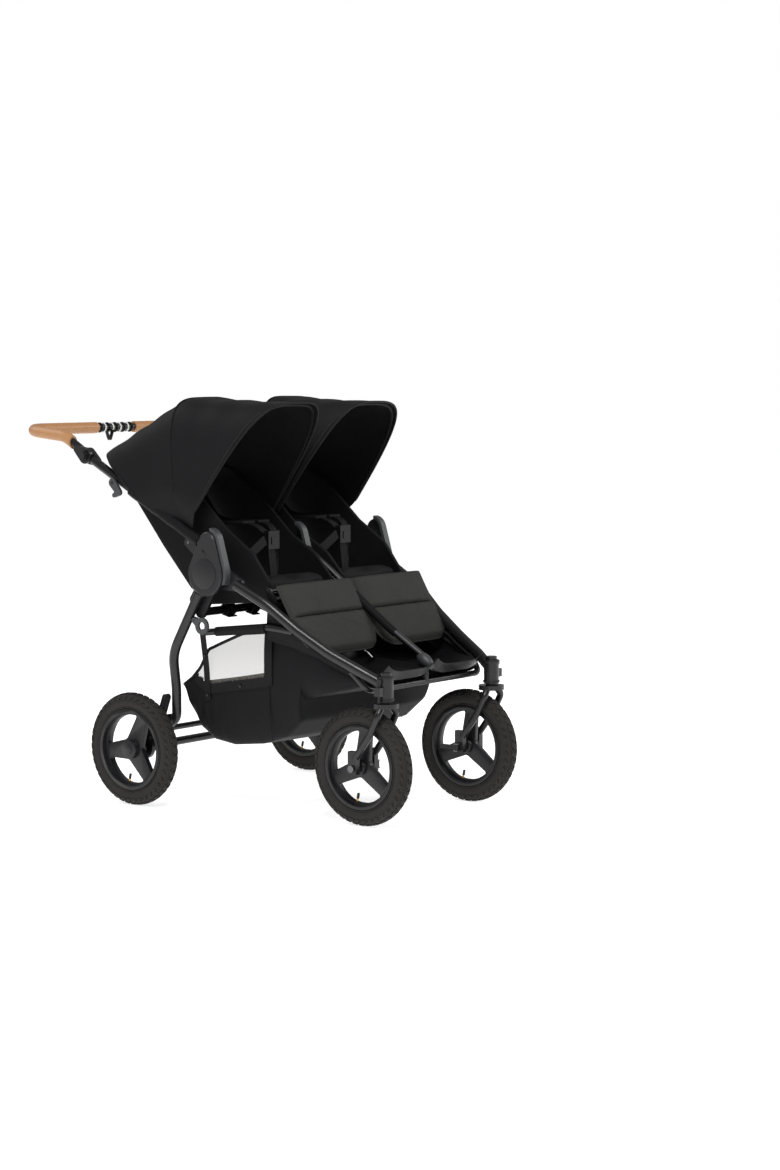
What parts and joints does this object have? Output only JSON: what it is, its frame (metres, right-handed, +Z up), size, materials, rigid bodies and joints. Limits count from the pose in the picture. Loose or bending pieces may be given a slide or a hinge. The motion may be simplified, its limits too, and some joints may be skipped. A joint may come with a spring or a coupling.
{
  "type": "jogging stroller",
  "caption": "Side-by-side jogging stroller with a folding black tube frame, air wheels, swivel front forks, canopies, leg rests, basket and a leather-gripped handlebar.",
  "frame": {"origin": "middle of the stroller's overall length and width, on the ground", "axes": "+Z up, -Y the way the stroller faces, +X its left side"},
  "size_m": [0.772, 1.321, 1.088],
  "materials": {
    "black_frame": "matte black powder coat",
    "silver_metal": "brushed, clear anodised",
    "grey_bracket": "satin grey",
    "black_plastic": "fine moulded grain",
    "gloss_buckle": "gloss",
    "steel": "zinc plated",
    "rim_black": "satin black, moulded",
    "tyre_rubber": "matte rubber",
    "elastomer": "matte",
    "tan_leather": "semi-matt, stitched",
    "black_fabric": "woven polyester",
    "charcoal_fabric": "quilted polyester"
  },
  "bodies": {
    "frame": {"front_tubes": "black_frame", "steering_heads": "black_frame", "front_cross_tube": "black_frame", "centre_tube": "silver_metal", "centre_cap": "grey_bracket", "hub_housings": "black_plastic", "hub_covers": "black_plastic", "hub_brackets": "grey_bracket", "centre_hub": "black_plastic", "seat_rods": "black_frame", "canopy_plates": "black_frame", "leg_rest_brackets": "black_frame", "hinge_pins": "steel", "side_rails": "black_frame", "seat_bases": "black_fabric", "buckles": "gloss_buckle", "footwells": "black_fabric", "basket": "black_fabric", "canopy_rears": "black_fabric"},
    "push_frame": {"upper_tubes": "black_frame", "handle_joints": "black_plastic"},
    "handlebar": {"handlebar": "black_frame", "handle_grips": "tan_leather"},
    "handle_button_left": {"handle_button_left": "black_plastic"},
    "handle_button_right": {"handle_button_right": "black_plastic"},
    "fold_release_left": {"fold_release_left": "grey_bracket"},
    "fold_release_right": {"fold_release_right": "grey_bracket"},
    "canopy_left": {"canopy_bow_left": "black_plastic", "canopy_front_left": "black_fabric"},
    "canopy_right": {"canopy_bow_right": "black_plastic", "canopy_front_right": "black_fabric"},
    "seat_back_left": {"seat_back_left": "black_fabric"},
    "seat_back_right": {"seat_back_right": "black_fabric"},
    "leg_rest_left": {"leg_rest_left": "charcoal_fabric"},
    "leg_rest_right": {"leg_rest_right": "charcoal_fabric"},
    "buckle_button_left": {"buckle_button_left": "gloss_buckle"},
    "buckle_button_right": {"buckle_button_right": "gloss_buckle"},
    "rear_frame": {"rear_legs": "black_frame"},
    "rear_axle": {"rear_axle": "black_frame", "suspension_blocks": "elastomer"},
    "rear_wheel_left": {"rear_tyre_left": "tyre_rubber", "rear_rim_left": "rim_black"},
    "rear_wheel_right": {"rear_tyre_right": "tyre_rubber", "rear_rim_right": "rim_black"},
    "brake_pedal": {"brake_pedal": "black_plastic"},
    "brake_pin_left": {"brake_pin_left": "steel"},
    "brake_pin_right": {"brake_pin_right": "steel"},
    "fold_latch": {"fold_latch": "grey_bracket"},
    "fork_left": {"fork_left": "black_frame", "front_axle_left": "steel"},
    "fork_right": {"fork_right": "black_frame", "front_axle_right": "steel"},
    "front_wheel_left": {"front_tyre_left": "tyre_rubber", "front_rim_left": "rim_black"},
    "front_wheel_right": {"front_tyre_right": "tyre_rubber", "front_rim_right": "rim_black"},
    "quick_release_left": {"quick_release_left": "black_plastic"},
    "quick_release_right": {"quick_release_right": "black_plastic"},
    "swivel_lock_left": {"swivel_lock_left": "black_plastic"},
    "swivel_lock_right": {"swivel_lock_right": "black_plastic"}
  },
  "joints": [
    {"name": "fold", "type": "hinge", "parent": "frame", "child": "push_frame", "pos_m": [0, -0.0905, 0.632], "axis": [1, 0, 0], "range_deg": [0, 140]},
    {"name": "rear_fold", "type": "hinge", "parent": "frame", "child": "rear_frame", "pos_m": [0, -0.0905, 0.632], "axis": [1, 0, 0], "range_deg": [-50, 0]},
    {"name": "handle_tilt", "type": "hinge", "parent": "push_frame", "child": "handlebar", "pos_m": [0, 0.3805, 0.933], "axis": [1, 0, 0], "range_deg": [-60, 30]},
    {"name": "canopy_left", "type": "hinge", "parent": "frame", "child": "canopy_left", "pos_m": [0.15, 0.0245, 0.707], "axis": [1, 0, 0], "range_deg": [-40, 0]},
    {"name": "recline_left", "type": "hinge", "parent": "frame", "child": "seat_back_left", "pos_m": [0.15, -0.0205, 0.56], "axis": [1, 0, 0], "range_deg": [-18, 20]},
    {"name": "leg_rest_left", "type": "hinge", "parent": "frame", "child": "leg_rest_left", "pos_m": [0.15, -0.2625, 0.592], "axis": [1, 0, 0], "range_deg": [-50, 0]},
    {"name": "handle_button_left", "type": "slide", "parent": "handlebar", "child": "handle_button_left", "axis": [-1, 0, 0], "range_m": [0, 0.004], "stiffness_N_per_m": 400, "springref_m": -0.002},
    {"name": "fold_release_left", "type": "hinge", "parent": "push_frame", "child": "fold_release_left", "pos_m": [0.32, 0.2675, 0.862], "axis": [1, 0, 0], "range_deg": [0, 18], "stiffness_Nm_per_rad": 0.6, "springref_deg": -17.19},
    {"name": "buckle_button_left", "type": "slide", "parent": "frame", "child": "buckle_button_left", "axis": [0, 1, 0], "range_m": [0, 0.0025], "stiffness_N_per_m": 400, "springref_m": -0.002},
    {"name": "swivel_left", "type": "hinge", "parent": "frame", "child": "fork_left", "pos_m": [0.228, -0.5825, 0.35], "axis": [0, 0, 1], "continuous": true},
    {"name": "front_wheel_left", "type": "hinge", "parent": "fork_left", "child": "front_wheel_left", "pos_m": [0.228, -0.5085, 0.152], "axis": [1, 0, 0], "continuous": true},
    {"name": "rear_wheel_left", "type": "hinge", "parent": "rear_axle", "child": "rear_wheel_left", "pos_m": [0.361, 0.1695, 0.152], "axis": [1, 0, 0], "continuous": true},
    {"name": "quick_release_left", "type": "hinge", "parent": "fork_left", "child": "quick_release_left", "pos_m": [0.171, -0.5085, 0.152], "axis": [0, 0, 1], "range_deg": [0, 120]},
    {"name": "swivel_lock_left", "type": "slide", "parent": "frame", "child": "swivel_lock_left", "axis": [0, 0, -1], "range_m": [0, 0.008]},
    {"name": "brake_pin_left", "type": "slide", "parent": "rear_axle", "child": "brake_pin_left", "axis": [1, 0, 0], "range_m": [0, 0.008]},
    {"name": "canopy_right", "type": "hinge", "parent": "frame", "child": "canopy_right", "pos_m": [-0.15, 0.0245, 0.707], "axis": [1, 0, 0], "range_deg": [-40, 0]},
    {"name": "recline_right", "type": "hinge", "parent": "frame", "child": "seat_back_right", "pos_m": [-0.15, -0.0205, 0.56], "axis": [1, 0, 0], "range_deg": [-18, 20]},
    {"name": "leg_rest_right", "type": "hinge", "parent": "frame", "child": "leg_rest_right", "pos_m": [-0.15, -0.2625, 0.592], "axis": [1, 0, 0], "range_deg": [-50, 0]},
    {"name": "handle_button_right", "type": "slide", "parent": "handlebar", "child": "handle_button_right", "axis": [1, 0, 0], "range_m": [0, 0.004], "stiffness_N_per_m": 400, "springref_m": -0.002},
    {"name": "fold_release_right", "type": "hinge", "parent": "push_frame", "child": "fold_release_right", "pos_m": [-0.32, 0.2675, 0.862], "axis": [1, 0, 0], "range_deg": [0, 18], "stiffness_Nm_per_rad": 0.6, "springref_deg": -17.19},
    {"name": "buckle_button_right", "type": "slide", "parent": "frame", "child": "buckle_button_right", "axis": [0, 1, 0], "range_m": [0, 0.0025], "stiffness_N_per_m": 400, "springref_m": -0.002},
    {"name": "swivel_right", "type": "hinge", "parent": "frame", "child": "fork_right", "pos_m": [-0.228, -0.5825, 0.35], "axis": [0, 0, 1], "continuous": true},
    {"name": "front_wheel_right", "type": "hinge", "parent": "fork_right", "child": "front_wheel_right", "pos_m": [-0.228, -0.5085, 0.152], "axis": [1, 0, 0], "continuous": true},
    {"name": "rear_wheel_right", "type": "hinge", "parent": "rear_axle", "child": "rear_wheel_right", "pos_m": [-0.361, 0.1695, 0.152], "axis": [1, 0, 0], "continuous": true},
    {"name": "quick_release_right", "type": "hinge", "parent": "fork_right", "child": "quick_release_right", "pos_m": [-0.171, -0.5085, 0.152], "axis": [0, 0, -1], "range_deg": [0, 120]},
    {"name": "swivel_lock_right", "type": "slide", "parent": "frame", "child": "swivel_lock_right", "axis": [0, 0, -1], "range_m": [0, 0.008]},
    {"name": "brake_pin_right", "type": "slide", "parent": "rear_axle", "child": "brake_pin_right", "axis": [-1, 0, 0], "range_m": [0, 0.008]},
    {"name": "suspension", "type": "hinge", "parent": "rear_frame", "child": "rear_axle", "pos_m": [0, 0.1245, 0.201], "axis": [1, 0, 0], "range_deg": [0, 5], "stiffness_Nm_per_rad": 600, "springref_deg": -3.44, "deforming": ["suspension_blocks"]},
    {"name": "brake_pedal", "type": "hinge", "parent": "rear_frame", "child": "brake_pedal", "pos_m": [-0.325, 0.1035, 0.236], "axis": [-1, 0, 0], "range_deg": [0, 25]},
    {"name": "fold_latch", "type": "hinge", "parent": "rear_frame", "child": "fold_latch", "pos_m": [-0.342, -0.0395, 0.508], "axis": [-1, 0, 0], "range_deg": [0, 60]}
  ],
  "couplings": [
    {"joint": "rear_fold", "follows": "fold", "ratio": -0.35714},
    {"joint": "brake_pin_left", "follows": "brake_pedal", "m_per_rad": 0.01833},
    {"joint": "brake_pin_right", "follows": "brake_pedal", "m_per_rad": 0.01833}
  ]
}
